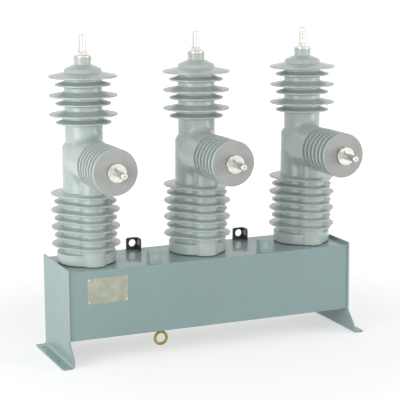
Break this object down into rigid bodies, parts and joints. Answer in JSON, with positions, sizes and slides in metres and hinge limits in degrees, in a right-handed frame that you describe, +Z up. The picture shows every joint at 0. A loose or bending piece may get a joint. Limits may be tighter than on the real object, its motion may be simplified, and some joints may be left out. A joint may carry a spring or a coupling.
{
  "type": "automatic circuit recloser",
  "caption": "Outdoor three-pole recloser: shedded epoxy poles with ribbed side bushings and stud terminals on a sheet steel box with bent feet, lifting lugs and a manual trip ring.",
  "frame": {"origin": "on the floor, at the centre of the four bolt holes in the feet", "axes": "+X along the row of poles to the right, +Y to the rear, away from the side bushings, +Z up"},
  "size_m": [1.046, 0.4793, 1.0045],
  "materials": {
    "epoxy": "satin moulded epoxy",
    "box_paint": "semi-gloss grey-green powder coat",
    "lug_steel": "dark grey paint",
    "gasket_rubber": "matt black",
    "terminal_tin": "tin-plated, bright",
    "plate_metal": "dull rolled sheet",
    "brass_bush": "plain turned",
    "ring_yellow": "yellow enamel",
    "rod_steel": "zinc-plated"
  },
  "bodies": {
    "root": {"front_panel": "box_paint", "rear_panel": "box_paint", "top_plate": "box_paint", "bottom_plate": "box_paint", "end_plate_left": "box_paint", "end_plate_right": "box_paint", "nameplate": "plate_metal", "lifting_lug_front_left": "box_paint", "lifting_lug_front_right": "box_paint", "lifting_lug_rear_left": "lug_steel", "lifting_lug_rear_right": "lug_steel", "rod_bush": "brass_bush", "pole_1_housing": "epoxy", "pole_1_gasket": "gasket_rubber", "pole_1_top_terminal": "terminal_tin", "pole_1_top_stud": "terminal_tin", "pole_1_top_nut": "terminal_tin", "pole_1_side_terminal": "terminal_tin", "pole_1_side_stud": "terminal_tin", "pole_2_housing": "epoxy", "pole_2_gasket": "gasket_rubber", "pole_2_top_terminal": "terminal_tin", "pole_2_top_stud": "terminal_tin", "pole_2_top_nut": "terminal_tin", "pole_2_side_terminal": "terminal_tin", "pole_2_side_stud": "terminal_tin", "pole_3_housing": "epoxy", "pole_3_gasket": "gasket_rubber", "pole_3_top_terminal": "terminal_tin", "pole_3_top_stud": "terminal_tin", "pole_3_top_nut": "terminal_tin", "pole_3_side_terminal": "terminal_tin", "pole_3_side_stud": "terminal_tin"},
    "trip_handle": {"trip_ring": "ring_yellow", "trip_rod": "rod_steel"}
  },
  "joints": [
    {"name": "trip_pull", "type": "slide", "parent": "root", "child": "trip_handle", "axis": [0, 0, -1], "range_m": [0, 0.015]}
  ]
}
